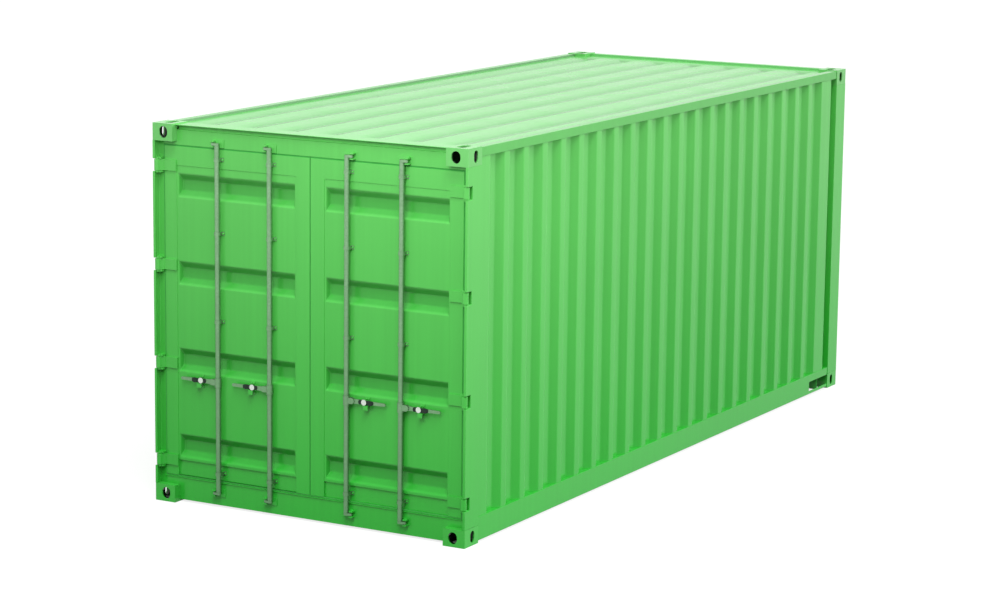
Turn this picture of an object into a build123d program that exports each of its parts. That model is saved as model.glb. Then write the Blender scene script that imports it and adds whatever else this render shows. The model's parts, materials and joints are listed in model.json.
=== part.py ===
from build123d import *
import os
from math import hypot

# A closed steel shipping container of the 20 foot class, standing on its four bottom
# corner castings. X runs across it, Y along it with the doors at the low end, Z up.
# The origin is under its middle, on the ground. All lengths are millimetres.

# Overall size, from outer face to outer face of the corner castings
LENGTH = 6058
WIDTH = 2438
HEIGHT = 2591

# Corner castings: hollow blocks with an oval hole in each outer face
CASTING_LENGTH = 178
CASTING_WIDTH = 162
CASTING_HEIGHT = 118
CASTING_WALL = 28
CASTING_BACK_WALL = 13
CASTING_PLATE = 18
CASTING_EDGE_RADIUS = 6
HOLE_FROM_SIDE = 89
HOLE_FROM_END = 101.5
TOP_HOLE_LENGTH = 124
TOP_HOLE_WIDTH = 63.5
SIDE_HOLE_HEIGHT = 79.5
SIDE_HOLE_WIDTH = 51
END_HOLE_WIDTH = 66

# Base and roof levels
GROUND_CLEARANCE = 14
FLOOR_LEVEL = 172
FLOOR_THICKNESS = 28
FLOOR_SIDE_GAP = 3
ROOF_DROP = 6

# Side rails
RAIL_INSET = 4
TOP_RAIL_SIZE = 60
TOP_RAIL_WALL = 4
BOTTOM_RAIL_WALL = 4.5
BOTTOM_RAIL_FLANGE = 48
BOTTOM_RAIL_FOOT = 30
RAIL_POCKET_LENGTH = 360
RAIL_POCKET_HEIGHT = 74
RAIL_POCKET_BOTTOM = 38

# Floor bearers under the floor
BEARER_COUNT = 18
BEARER_HEIGHT = 122
BEARER_WIDTH = 45
BEARER_WALL = 4
BEARER_FROM_RAIL_END = 150

# Corrugated walls and roof, all folded from one gauge of sheet
SHEET = 2
SIDE_INSET = 8
SIDE_DEPTH = 36
SIDE_RECESS_COUNT = 21
SIDE_FIRST_RECESS = 391
SIDE_LAST_RECESS = 551
SIDE_RECESS_FLAT = 66
SIDE_SLOPE = 60
SIDE_END_RECESS = 34
FRONT_INSET = 10
FRONT_DEPTH = 45
FRONT_RECESS_COUNT = 9
FRONT_RECESS_FLAT = 100
FRONT_SLOPE = 18
FRONT_END_STRIP = 97
ROOF_SHEET_DROP = 16
ROOF_GROOVE_COUNT = 7
ROOF_EDGE_STRIP = 115
ROOF_GROOVE_WIDTH = 170
ROOF_GROOVE_SLOPE = 67
ROOF_GROOVE_DEPTH = 12
ROOF_PLAIN_END = 60

# Corner posts at the blind end
FRONT_POST_WALL = 6
FRONT_POST_WIDTH = 110
FRONT_POST_RETURN = 50

# Corner posts at the door end, with the channel that holds the hinges
DOOR_POST_WALL = 8
DOOR_POST_WIDTH = 51
POST_CHANNEL_DEPTH = 62
POST_FLANGE_WIDTH = 18
POST_FLANGE_DEPTH = 6

# Header, sill and the beams of the blind end
BEAM_WALL = 4
FRAME_SETBACK = 58
FRAME_DEPTH = 110
HEADER_HEIGHT = 139
HEADER_LIP = 26
SILL_RISE = 1
SILL_LIP = 7
FRONT_BEAM_DEPTH = 60
FRONT_SILL_DEPTH = 90

# Hinges
HINGE_COUNT = 4
HINGE_PIN_INSET = 22
HINGE_PIN_RADIUS = 9
HINGE_PLAY = 0.5
KNUCKLE_RADIUS = 20
BLADE_HEIGHT = 75
BLADE_THICKNESS = 10
BLADE_REACH = 135
BLADE_NECK = 14
LUG_THICKNESS = 12
LUG_NOSE_RADIUS = 14
LUG_PLAY = 2
HINGE_FROM_DOOR_BOTTOM = 103
HINGE_FROM_DOOR_TOP = 130

# Door leaves
DOOR_FACE_SETBACK = 56
DOOR_THICKNESS = 50
DOOR_GAP = 10
DOOR_SIDE_GAP = 8
DOOR_CENTRE_GAP = 26
DOOR_COVER_GAP = 7
DOOR_COVER_THICKNESS = 6
HINGE_STILE = 97
LOCK_STILE = 97
DOOR_TOP_RAIL = 128
DOOR_BOTTOM_RAIL = 110
BOTTOM_RAIL_SETBACK = 15
DOOR_TUBE_WALL = 4
PANEL_SETBACK = 4
DOOR_RECESS_COUNT = 4
DOOR_RECESS_HEIGHT = 160
DOOR_RECESS_SLOPE = 45
DOOR_RECESS_END_SLOPE = 15
DOOR_RECESS_DEPTH = 36
DOOR_RECESS_MARGIN = 11
RECESS_FROM_PANEL_BOTTOM = 97
RECESS_FROM_PANEL_TOP = 133
GASKET_THICKNESS = 5
GASKET_SIDE = 3
GASKET_DEPTH = 26
GASKET_SETBACK = 6
MOVING_GAP = 5

# Lock rods, their brackets, cams and keepers
ROD_RADIUS = 17
ROD_SETBACK = 29
ROD_SPACING = 415
ROD_CENTRE_SHARE = 2 / 3
ROD_BELOW_SILL_TOP = 63
ROD_ABOVE_HEADER_BOTTOM = 22
CAM_HEIGHT = 16
CAM_REACH = 45
CAM_TIP_RADIUS = 9
KEEPER_PLATE = 6
KEEPER_WIDTH = 78
KEEPER_HEIGHT = 56
KEEPER_PRONG = 10
KEEPER_PRONG_WIDTH = 28
KEEPER_PRONG_REACH = 36
BRACKET_STRAP = 4
BRACKET_PLAY = 0.4
BRACKET_HEIGHT = 24
BRACKET_WIDTH = 76

# Handles with their hubs and retainers
HANDLE_LEVEL = 868
HANDLE_LENGTH = 300
HANDLE_THICKNESS = 10
HANDLE_HUB_RADIUS = 16
HANDLE_TIP_RADIUS = 10
HANDLE_PIVOT = 44
HANDLE_PIN_RADIUS = 7
HANDLE_PLAY = 0.5
EAR_THICKNESS = 6
EAR_GAP = 1.5
EAR_HEIGHT = 40
HUB_WALL = 5
HUB_HEIGHT = 64
RETAINER_FROM_ROD = 150
RETAINER_WIDTH = 36
RETAINER_HEIGHT = 84
RETAINER_PLATE = 5
RETAINER_REACH = 36
RETAINER_TAB = 30

# Planes and levels that follow from the sizes above
side_plane = WIDTH / 2
door_end = -LENGTH / 2
front_end = LENGTH / 2
casting_inner_x = side_plane - CASTING_WIDTH
front_half_width = side_plane - FRONT_POST_WIDTH
rail_end = LENGTH / 2 - CASTING_LENGTH
post_bottom = CASTING_HEIGHT
post_top = HEIGHT - CASTING_HEIGHT
roof_level = HEIGHT - ROOF_DROP
sheet_level = roof_level - ROOF_SHEET_DROP
top_rail_bottom = roof_level - TOP_RAIL_SIZE
rail_face = side_plane - RAIL_INSET
top_rail_inner = rail_face - TOP_RAIL_SIZE
jamb_x = side_plane - DOOR_POST_WIDTH
frame_face = door_end + FRAME_SETBACK
frame_back = frame_face + FRAME_DEPTH
header_bottom = roof_level - HEADER_HEIGHT
sill_top = FLOOR_LEVEL + SILL_RISE
pin_x = side_plane - HINGE_PIN_INSET
pin_y = door_end + HINGE_PIN_INSET
door_face = door_end + DOOR_FACE_SETBACK
door_back = door_face + DOOR_THICKNESS
door_bottom = sill_top + DOOR_GAP
door_top = header_bottom - DOOR_GAP
door_edge = jamb_x - DOOR_SIDE_GAP
door_centre_edge = DOOR_CENTRE_GAP / 2
panel_inner_x = door_centre_edge + LOCK_STILE
panel_outer_x = door_edge - HINGE_STILE
panel_bottom = door_bottom + DOOR_BOTTOM_RAIL
panel_top = door_top - DOOR_TOP_RAIL
panel_face = door_face + PANEL_SETBACK
bottom_rail_face = door_face + BOTTOM_RAIL_SETBACK
rod_y = door_end + ROD_SETBACK
rod_bottom = sill_top - ROD_BELOW_SILL_TOP
rod_top = header_bottom + ROD_ABOVE_HEADER_BOTTOM
cam_levels = (rod_bottom - CAM_HEIGHT / 2, rod_top + CAM_HEIGHT / 2)
# The rods and their handles leave twice as much of the leaf free at its middle edge as at its hinges
rod_free_width = door_edge - door_centre_edge - ROD_SPACING - HANDLE_LENGTH
rod_inner_x = door_centre_edge + rod_free_width * ROD_CENTRE_SHARE
ROD_PLACES = {"inner": rod_inner_x, "outer": rod_inner_x + ROD_SPACING}
hinge_low = door_bottom + HINGE_FROM_DOOR_BOTTOM
hinge_high = door_top - HINGE_FROM_DOOR_TOP
hinge_levels = [
    hinge_low + index * (hinge_high - hinge_low) / (HINGE_COUNT - 1) for index in range(HINGE_COUNT)
]
SIDES = {"left": -1, "right": 1}

os.makedirs("parts", exist_ok=True)


def save(piece, label):
    """Names a finished piece and writes its file."""
    piece.part.label = label
    export_step(piece.part, f"parts/{label}.step")


def sheet_outline(corners, thickness):
    """The closed outline of a folded sheet: its corners, and the same line one gauge deeper."""
    normals = []
    for (run, depth), (next_run, next_depth) in zip(corners, corners[1:]):
        size = hypot(next_run - run, next_depth - depth)
        normals.append(((depth - next_depth) / size, (next_run - run) / size))
    inner = []
    for index, (run, depth) in enumerate(corners):
        before = normals[max(index - 1, 0)]
        after = normals[min(index, len(normals) - 1)]
        share = thickness / (1 + before[0] * after[0] + before[1] * after[1])
        inner.append((run + (before[0] + after[0]) * share, depth + (before[1] + after[1]) * share))
    return corners + inner[::-1]


def recess_corners(centre, flat, slope, depth):
    """The four fold lines of one recess, along the wall and into it."""
    return [
        (centre - flat / 2 - slope, 0),
        (centre - flat / 2, depth),
        (centre + flat / 2, depth),
        (centre + flat / 2 + slope, 0),
    ]


def pressed_block(plane, length, height, slope_length, slope_height, depth):
    """A block whose end is smaller than its mouth, as a press tool leaves it."""
    with BuildPart() as block:
        with BuildSketch(plane):
            Rectangle(length, height)
        with BuildSketch(plane.offset(depth)):
            Rectangle(length - 2 * slope_length, height - 2 * slope_height)
        loft(ruled=True)
    return block.part


def trough(plane, length, height, slope_length, slope_height, depth):
    """A pressed trough of sheet, and the block of air inside it."""
    inside = pressed_block(plane, length, height, slope_length, slope_height, depth)
    outside = pressed_block(
        plane,
        length + 2 * SHEET,
        height + 2 * SHEET,
        slope_length * (depth + SHEET) / depth,
        slope_height * (depth + SHEET) / depth,
        depth + SHEET,
    )
    return inside, outside


# Corner castings
def corner_casting(x_side, y_side, z_side):
    centre_x = x_side * (WIDTH - CASTING_WIDTH) / 2
    centre_y = y_side * (LENGTH - CASTING_LENGTH) / 2
    centre_z = HEIGHT / 2 + z_side * (HEIGHT - CASTING_HEIGHT) / 2
    outer_z = HEIGHT / 2 + z_side * HEIGHT / 2
    hole_x = x_side * (side_plane - HOLE_FROM_SIDE)
    hole_y = y_side * (front_end - HOLE_FROM_END)
    wall_shift = (CASTING_WALL - CASTING_BACK_WALL) / 2
    with BuildPart() as casting:
        with Locations((centre_x, centre_y, centre_z)):
            Box(CASTING_WIDTH, CASTING_LENGTH, CASTING_HEIGHT)
        outer_edge = casting.edges().filter_by(Axis.Z).sort_by_distance(
            (x_side * side_plane, y_side * front_end, centre_z)
        )[0]
        fillet(outer_edge, CASTING_EDGE_RADIUS)
        with Locations((centre_x - x_side * wall_shift, centre_y - y_side * wall_shift, centre_z)):
            Box(
                CASTING_WIDTH - CASTING_WALL - CASTING_BACK_WALL,
                CASTING_LENGTH - CASTING_WALL - CASTING_BACK_WALL,
                CASTING_HEIGHT - 2 * CASTING_PLATE,
                mode=Mode.SUBTRACT,
            )
        with BuildSketch(Plane.XY.offset(outer_z)):
            with Locations((hole_x, hole_y)):
                SlotOverall(TOP_HOLE_LENGTH, TOP_HOLE_WIDTH, rotation=90)
        extrude(amount=2 * CASTING_PLATE, both=True, mode=Mode.SUBTRACT)
        with BuildSketch(Plane.YZ.offset(x_side * side_plane)):
            with Locations((hole_y, centre_z)):
                SlotOverall(SIDE_HOLE_HEIGHT, SIDE_HOLE_WIDTH, rotation=90)
        extrude(amount=2 * CASTING_WALL, both=True, mode=Mode.SUBTRACT)
        with BuildSketch(Plane.XZ.offset(-y_side * front_end)):
            with Locations((hole_x, centre_z)):
                SlotOverall(SIDE_HOLE_HEIGHT, END_HOLE_WIDTH, rotation=90)
        extrude(amount=2 * CASTING_WALL, both=True, mode=Mode.SUBTRACT)
    return casting.part


for level, z_side in (("bottom", -1), ("top", 1)):
    blocks = [corner_casting(x_side, y_side, z_side) for x_side in SIDES.values() for y_side in (-1, 1)]
    with BuildPart() as castings:
        for block in blocks:
            add(block)
    save(castings, f"corner_castings_{level}")


# Door end corner posts: a box, and in front of it a flanged lip that covers the hinges
def door_post(x_side, label):
    web_y = door_end + POST_CHANNEL_DEPTH
    outer_x = x_side * side_plane
    inner_x = x_side * jamb_x
    flange_x = x_side * (side_plane - POST_FLANGE_WIDTH)
    flange_y = door_end + POST_FLANGE_DEPTH
    with BuildPart() as post:
        with BuildSketch(Plane.XY.offset(post_bottom)):
            with BuildLine():
                Polyline(
                    (outer_x, door_end),
                    (outer_x, -rail_end),
                    (inner_x, -rail_end),
                    (inner_x, web_y),
                    (outer_x - x_side * DOOR_POST_WALL, web_y),
                    (outer_x - x_side * DOOR_POST_WALL, flange_y),
                    (flange_x, flange_y),
                    (flange_x, door_end),
                    close=True,
                )
            make_face()
            box_middle = (web_y - rail_end) / 2
            with Locations(((outer_x + inner_x) / 2, box_middle)):
                Rectangle(
                    DOOR_POST_WIDTH - 2 * DOOR_POST_WALL,
                    -rail_end - web_y - 2 * DOOR_POST_WALL,
                    mode=Mode.SUBTRACT,
                )
        extrude(amount=post_top - post_bottom)
        # The lip is cut away where a hinge blade swings through it
        for level in hinge_levels:
            with Locations(((outer_x + inner_x) / 2, (door_end + web_y) / 2, level)):
                Box(
                    DOOR_POST_WIDTH,
                    POST_CHANNEL_DEPTH,
                    BLADE_HEIGHT + 2 * MOVING_GAP,
                    mode=Mode.SUBTRACT,
                )
    save(post, label)


for side, x_side in SIDES.items():
    door_post(x_side, f"door_post_{side}")


# Blind end corner posts: a folded angle whose two returns take the corrugated walls
def front_post(x_side, label):
    return_end = front_end - FRONT_POST_RETURN - FRONT_INSET
    with BuildPart() as post:
        with BuildSketch(Plane.XY.offset(post_bottom)):
            with BuildLine():
                Polyline(
                    (x_side * (side_plane - FRONT_POST_RETURN), rail_end),
                    (x_side * side_plane, rail_end),
                    (x_side * side_plane, front_end),
                    (x_side * front_half_width, front_end),
                    (x_side * front_half_width, return_end),
                    (x_side * (front_half_width + FRONT_POST_WALL), return_end),
                    (x_side * (front_half_width + FRONT_POST_WALL), front_end - FRONT_POST_WALL),
                    (x_side * (side_plane - FRONT_POST_WALL), front_end - FRONT_POST_WALL),
                    (x_side * (side_plane - FRONT_POST_WALL), rail_end + FRONT_POST_WALL),
                    (x_side * (side_plane - FRONT_POST_RETURN), rail_end + FRONT_POST_WALL),
                    close=True,
                )
            make_face()
        extrude(amount=post_top - post_bottom)
    save(post, label)


for side, x_side in SIDES.items():
    front_post(x_side, f"front_post_{side}")

# Door header: a hollow beam between the castings, with a drip lip over the doors
with BuildPart() as header:
    with BuildSketch(Plane.YZ):
        with Locations(((frame_face + frame_back) / 2, (header_bottom + roof_level) / 2)):
            Rectangle(FRAME_DEPTH, HEADER_HEIGHT)
            Rectangle(FRAME_DEPTH - 2 * BEAM_WALL, HEADER_HEIGHT - 2 * BEAM_WALL, mode=Mode.SUBTRACT)
        with Locations((frame_face, roof_level)):
            Rectangle(HEADER_LIP, BEAM_WALL, align=(Align.MAX, Align.MAX))
        with Locations((frame_back, sheet_level)):
            Rectangle(-rail_end - frame_back, BEAM_WALL, align=(Align.MIN, Align.MAX))
    extrude(amount=casting_inner_x, both=True)
    with BuildSketch(Plane.YZ):
        with Locations((frame_face, header_bottom)):
            Rectangle(FRAME_DEPTH, BEAM_WALL, align=(Align.MIN, Align.MIN))
            Rectangle(BEAM_WALL, post_top - header_bottom, align=(Align.MIN, Align.MIN))
    extrude(amount=jamb_x, both=True)
save(header, "door_header")

# Door sill: a hollow beam, wider above the bottom castings than between them
with BuildPart() as sill:
    with BuildSketch(Plane.YZ):
        with Locations((frame_face, GROUND_CLEARANCE)):
            Rectangle(FRAME_DEPTH, sill_top - GROUND_CLEARANCE, align=(Align.MIN, Align.MIN))
        with Locations(((frame_face + frame_back) / 2, (GROUND_CLEARANCE + sill_top) / 2)):
            Rectangle(
                FRAME_DEPTH - 2 * BEAM_WALL,
                sill_top - GROUND_CLEARANCE - 2 * BEAM_WALL,
                mode=Mode.SUBTRACT,
            )
    extrude(amount=casting_inner_x, both=True)
    with BuildSketch(Plane.YZ):
        with Locations((frame_face, sill_top)):
            Rectangle(FRAME_DEPTH, BEAM_WALL, align=(Align.MIN, Align.MAX))
            Rectangle(BEAM_WALL, sill_top - post_bottom, align=(Align.MIN, Align.MAX))
            Rectangle(SILL_LIP, BEAM_WALL, align=(Align.MAX, Align.MAX))
    extrude(amount=jamb_x, both=True)
save(sill, "door_sill")

# Beams of the blind end, between the castings
front_wall_face = front_end - FRONT_INSET
with BuildPart() as front_top_beam:
    with BuildSketch(Plane.YZ):
        with Locations((front_wall_face - FRONT_BEAM_DEPTH / 2, (post_top + roof_level) / 2)):
            Rectangle(FRONT_BEAM_DEPTH, roof_level - post_top)
            Rectangle(
                FRONT_BEAM_DEPTH - 2 * BEAM_WALL,
                roof_level - post_top - 2 * BEAM_WALL,
                mode=Mode.SUBTRACT,
            )
        with Locations((rail_end, sheet_level)):
            Rectangle(
                front_wall_face - FRONT_BEAM_DEPTH - rail_end, BEAM_WALL, align=(Align.MIN, Align.MAX)
            )
    extrude(amount=casting_inner_x, both=True)
save(front_top_beam, "front_top_beam")

with BuildPart() as front_bottom_beam:
    with BuildSketch(Plane.YZ):
        with Locations((front_wall_face, GROUND_CLEARANCE)):
            Rectangle(FRONT_SILL_DEPTH, FLOOR_LEVEL - GROUND_CLEARANCE, align=(Align.MAX, Align.MIN))
        with Locations(
            (front_wall_face - FRONT_SILL_DEPTH / 2, (GROUND_CLEARANCE + FLOOR_LEVEL) / 2)
        ):
            Rectangle(
                FRONT_SILL_DEPTH - 2 * BEAM_WALL,
                FLOOR_LEVEL - GROUND_CLEARANCE - 2 * BEAM_WALL,
                mode=Mode.SUBTRACT,
            )
    extrude(amount=casting_inner_x, both=True)
    with BuildSketch(Plane.YZ):
        with Locations((front_wall_face, FLOOR_LEVEL)):
            Rectangle(FRONT_SILL_DEPTH, BEAM_WALL, align=(Align.MAX, Align.MAX))
            Rectangle(BEAM_WALL, FLOOR_LEVEL - post_bottom, align=(Align.MAX, Align.MAX))
    extrude(amount=front_half_width, both=True)
save(front_bottom_beam, "front_bottom_beam")

# Side rails, between the castings
with BuildPart() as top_rails:
    with BuildSketch(Plane.XZ.offset(-rail_end)):
        with GridLocations(2 * rail_face - TOP_RAIL_SIZE, 1, 2, 1):
            with Locations((0, roof_level - TOP_RAIL_SIZE / 2)):
                Rectangle(TOP_RAIL_SIZE, TOP_RAIL_SIZE)
                Rectangle(
                    TOP_RAIL_SIZE - 2 * TOP_RAIL_WALL,
                    TOP_RAIL_SIZE - 2 * TOP_RAIL_WALL,
                    mode=Mode.SUBTRACT,
                )
    extrude(amount=2 * rail_end)
save(top_rails, "top_side_rails")


def bottom_rail(x_side):
    web_inner = rail_face - BOTTOM_RAIL_WALL
    with BuildPart() as rail:
        with BuildSketch(Plane.XZ.offset(-rail_end)):
            with BuildLine():
                Polyline(
                    (x_side * rail_face, GROUND_CLEARANCE),
                    (x_side * rail_face, FLOOR_LEVEL),
                    (x_side * (rail_face - BOTTOM_RAIL_FLANGE), FLOOR_LEVEL),
                    (x_side * (rail_face - BOTTOM_RAIL_FLANGE), FLOOR_LEVEL - BOTTOM_RAIL_WALL),
                    (x_side * web_inner, FLOOR_LEVEL - BOTTOM_RAIL_WALL),
                    (x_side * web_inner, GROUND_CLEARANCE + BOTTOM_RAIL_WALL),
                    (x_side * (rail_face - BOTTOM_RAIL_FOOT), GROUND_CLEARANCE + BOTTOM_RAIL_WALL),
                    (x_side * (rail_face - BOTTOM_RAIL_FOOT), GROUND_CLEARANCE),
                    close=True,
                )
            make_face()
        extrude(amount=2 * rail_end)
        # An open pocket through the web beside the casting of the blind end
        with Locations((x_side * rail_face, rail_end, RAIL_POCKET_BOTTOM)):
            Box(
                4 * BOTTOM_RAIL_WALL,
                2 * RAIL_POCKET_LENGTH,
                RAIL_POCKET_HEIGHT,
                align=(Align.CENTER, Align.CENTER, Align.MIN),
                mode=Mode.SUBTRACT,
            )
    return rail.part


rails = [bottom_rail(x_side) for x_side in SIDES.values()]
with BuildPart() as bottom_rails:
    for rail in rails:
        add(rail)
save(bottom_rails, "bottom_side_rails")

# Floor and the bearers that carry it
floor_half_width = rail_face - BOTTOM_RAIL_FLANGE - FLOOR_SIDE_GAP
floor_front = front_wall_face - FRONT_SILL_DEPTH
with BuildPart() as floor:
    with Locations((0, (frame_back + floor_front) / 2, FLOOR_LEVEL)):
        Box(
            2 * floor_half_width,
            floor_front - frame_back,
            FLOOR_THICKNESS,
            align=(Align.CENTER, Align.CENTER, Align.MAX),
        )
save(floor, "floor")

bearer_top = FLOOR_LEVEL - FLOOR_THICKNESS
bearer_pitch = (2 * (rail_end - BEARER_FROM_RAIL_END) - BEARER_WIDTH) / (BEARER_COUNT - 1)
with BuildPart() as bearers:
    with BuildSketch(Plane.YZ):
        with GridLocations(bearer_pitch, 1, BEARER_COUNT, 1):
            with Locations((0, bearer_top - BEARER_HEIGHT / 2)):
                Rectangle(BEARER_WIDTH, BEARER_HEIGHT)
            with Locations((BEARER_WALL, bearer_top - BEARER_HEIGHT / 2)):
                Rectangle(BEARER_WIDTH, BEARER_HEIGHT - 2 * BEARER_WALL, mode=Mode.SUBTRACT)
    extrude(amount=rail_face - BOTTOM_RAIL_WALL, both=True)
save(bearers, "floor_bearers")

# Side walls: upright recesses between plain ends, and half a recess at the blind end
side_pitch = (LENGTH - SIDE_FIRST_RECESS - SIDE_LAST_RECESS) / (SIDE_RECESS_COUNT - 1)
side_corners = [(-rail_end, 0)]
for index in range(SIDE_RECESS_COUNT):
    centre = door_end + SIDE_FIRST_RECESS + index * side_pitch
    side_corners += recess_corners(centre, SIDE_RECESS_FLAT, SIDE_SLOPE, SIDE_DEPTH)
side_corners += [
    (rail_end - SIDE_END_RECESS - SIDE_SLOPE, 0),
    (rail_end - SIDE_END_RECESS, SIDE_DEPTH),
    (rail_end, SIDE_DEPTH),
]
for side, x_side in SIDES.items():
    with BuildPart() as side_wall:
        with BuildSketch(Plane.XY.offset(FLOOR_LEVEL)):
            with BuildLine():
                outline = sheet_outline(side_corners, SHEET)
                Polyline(
                    *[(x_side * (side_plane - SIDE_INSET - depth), run) for run, depth in outline],
                    close=True,
                )
            make_face()
        extrude(amount=top_rail_bottom - FLOOR_LEVEL)
    save(side_wall, f"side_wall_{side}")

# Blind end wall
front_last_recess = front_half_width - FRONT_END_STRIP - FRONT_SLOPE - FRONT_RECESS_FLAT / 2
front_pitch = 2 * front_last_recess / (FRONT_RECESS_COUNT - 1)
front_corners = [(-front_half_width, 0)]
for index in range(FRONT_RECESS_COUNT):
    centre = (index - (FRONT_RECESS_COUNT - 1) / 2) * front_pitch
    front_corners += recess_corners(centre, FRONT_RECESS_FLAT, FRONT_SLOPE, FRONT_DEPTH)
front_corners += [(front_half_width, 0)]
with BuildPart() as front_wall:
    with BuildSketch(Plane.XY.offset(FLOOR_LEVEL)):
        with BuildLine():
            outline = sheet_outline(front_corners, SHEET)
            Polyline(*[(run, front_wall_face - depth) for run, depth in outline], close=True)
        make_face()
    extrude(amount=post_top - FLOOR_LEVEL)
save(front_wall, "front_wall")

# Roof: one sheet with pressed grooves along it, closed at both ends
last_groove = top_rail_inner - ROOF_EDGE_STRIP - ROOF_GROOVE_WIDTH / 2
groove_pitch = 2 * last_groove / (ROOF_GROOVE_COUNT - 1)
with BuildPart() as roof:
    with Locations((0, 0, sheet_level)):
        Box(
            2 * top_rail_inner, 2 * rail_end, SHEET, align=(Align.CENTER, Align.CENTER, Align.MAX)
        )
    for index in range(ROOF_GROOVE_COUNT):
        groove_x = (index - (ROOF_GROOVE_COUNT - 1) / 2) * groove_pitch
        inside, outside = trough(
            Plane((groove_x, 0, sheet_level), x_dir=(0, 1, 0), z_dir=(0, 0, -1)),
            2 * (rail_end - ROOF_PLAIN_END),
            ROOF_GROOVE_WIDTH,
            ROOF_GROOVE_SLOPE,
            ROOF_GROOVE_SLOPE,
            ROOF_GROOVE_DEPTH,
        )
        add(outside)
        add(inside, mode=Mode.SUBTRACT)
save(roof, "roof_panel")


# Hinge lugs on the posts, with the pins in them
def hinge_lugs(x_side):
    web_y = door_end + POST_CHANNEL_DEPTH
    channel_outer = side_plane - DOOR_POST_WALL
    lug_offset = BLADE_HEIGHT / 2 + LUG_PLAY
    with BuildPart() as lugs:
        for level in hinge_levels:
            for lug_bottom in (level - lug_offset - LUG_THICKNESS, level + lug_offset):
                with BuildSketch(Plane.XY.offset(lug_bottom)):
                    with Locations((x_side * (jamb_x + channel_outer) / 2, (pin_y + web_y) / 2)):
                        Rectangle(channel_outer - jamb_x, web_y - pin_y)
                    with Locations((x_side * pin_x, pin_y)):
                        Circle(LUG_NOSE_RADIUS)
                extrude(amount=LUG_THICKNESS)
            with BuildSketch(Plane.XY.offset(level - lug_offset - LUG_THICKNESS)):
                with Locations((x_side * pin_x, pin_y)):
                    Circle(HINGE_PIN_RADIUS)
            extrude(amount=2 * (lug_offset + LUG_THICKNESS))
    return lugs.part


lug_sets = [hinge_lugs(x_side) for x_side in SIDES.values()]
with BuildPart() as all_lugs:
    for lug_set in lug_sets:
        add(lug_set)
save(all_lugs, "hinge_lugs")


# Hinge blades: a knuckle on the pin, a neck that turns inwards and an arm on the door's stile
def hinge_blades(x_side, label):
    arm_front = door_face - BLADE_THICKNESS
    with BuildPart() as blades:
        for level in hinge_levels:
            with BuildSketch(Plane.XY.offset(level - BLADE_HEIGHT / 2)):
                with Locations((x_side * pin_x, pin_y)):
                    Circle(KNUCKLE_RADIUS)
                with BuildLine():
                    Polyline(
                        (x_side * (pin_x - KNUCKLE_RADIUS), pin_y),
                        (x_side * pin_x, pin_y),
                        (x_side * (pin_x - BLADE_NECK + BLADE_THICKNESS), door_face),
                        (x_side * (pin_x - BLADE_REACH), door_face),
                        (x_side * (pin_x - BLADE_REACH), arm_front),
                        (x_side * (pin_x - KNUCKLE_RADIUS - BLADE_NECK), arm_front),
                        close=True,
                    )
                make_face()
                with Locations((x_side * pin_x, pin_y)):
                    Circle(HINGE_PIN_RADIUS + HINGE_PLAY, mode=Mode.SUBTRACT)
            extrude(amount=BLADE_HEIGHT)
    save(blades, label)


for side, x_side in SIDES.items():
    hinge_blades(x_side, f"hinge_blades_{side}")


# Door leaf frames: two tube stiles, a top rail in line with them, a bottom rail that stands
# back under a drip ledge, and a lip over the middle gap
def door_frame(x_side, label):
    door_height = door_top - door_bottom
    with BuildPart() as frame:
        for inner_x, width in ((door_centre_edge, LOCK_STILE), (panel_outer_x, HINGE_STILE)):
            with BuildSketch(Plane.XY.offset(door_bottom)):
                with Locations((x_side * (inner_x + width / 2), (door_face + door_back) / 2)):
                    Rectangle(width, DOOR_THICKNESS)
                    Rectangle(
                        width - 2 * DOOR_TUBE_WALL,
                        DOOR_THICKNESS - 2 * DOOR_TUBE_WALL,
                        mode=Mode.SUBTRACT,
                    )
            extrude(amount=door_height)
        with BuildSketch(Plane.YZ.offset(x_side * panel_inner_x)):
            with Locations(((door_face + door_back) / 2, panel_top)):
                Rectangle(DOOR_THICKNESS, DOOR_TOP_RAIL, align=(Align.CENTER, Align.MIN))
            with Locations(((door_face + door_back) / 2, panel_top + DOOR_TUBE_WALL)):
                Rectangle(
                    DOOR_THICKNESS - 2 * DOOR_TUBE_WALL,
                    DOOR_TOP_RAIL,
                    align=(Align.CENTER, Align.MIN),
                    mode=Mode.SUBTRACT,
                )
            with Locations(((bottom_rail_face + door_back) / 2, panel_bottom)):
                Rectangle(
                    DOOR_THICKNESS - BOTTOM_RAIL_SETBACK,
                    DOOR_BOTTOM_RAIL,
                    align=(Align.CENTER, Align.MAX),
                )
            with Locations(((bottom_rail_face + door_back) / 2, panel_bottom - DOOR_TUBE_WALL)):
                Rectangle(
                    DOOR_THICKNESS - BOTTOM_RAIL_SETBACK - 2 * DOOR_TUBE_WALL,
                    DOOR_BOTTOM_RAIL,
                    align=(Align.CENTER, Align.MAX),
                    mode=Mode.SUBTRACT,
                )
            with Locations((panel_face, panel_bottom)):
                Rectangle(door_back - panel_face, DOOR_TUBE_WALL, align=(Align.MIN, Align.MAX))
        extrude(amount=x_side * (panel_outer_x - panel_inner_x))
        with Locations((x_side * DOOR_COVER_GAP / 2, door_face, door_bottom)):
            Box(
                door_centre_edge - DOOR_COVER_GAP / 2,
                DOOR_COVER_THICKNESS,
                door_height,
                align=(Align.MIN if x_side > 0 else Align.MAX, Align.MIN, Align.MIN),
            )
    save(frame, label)


for side, x_side in SIDES.items():
    door_frame(x_side, f"door_frame_{side}")


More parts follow.
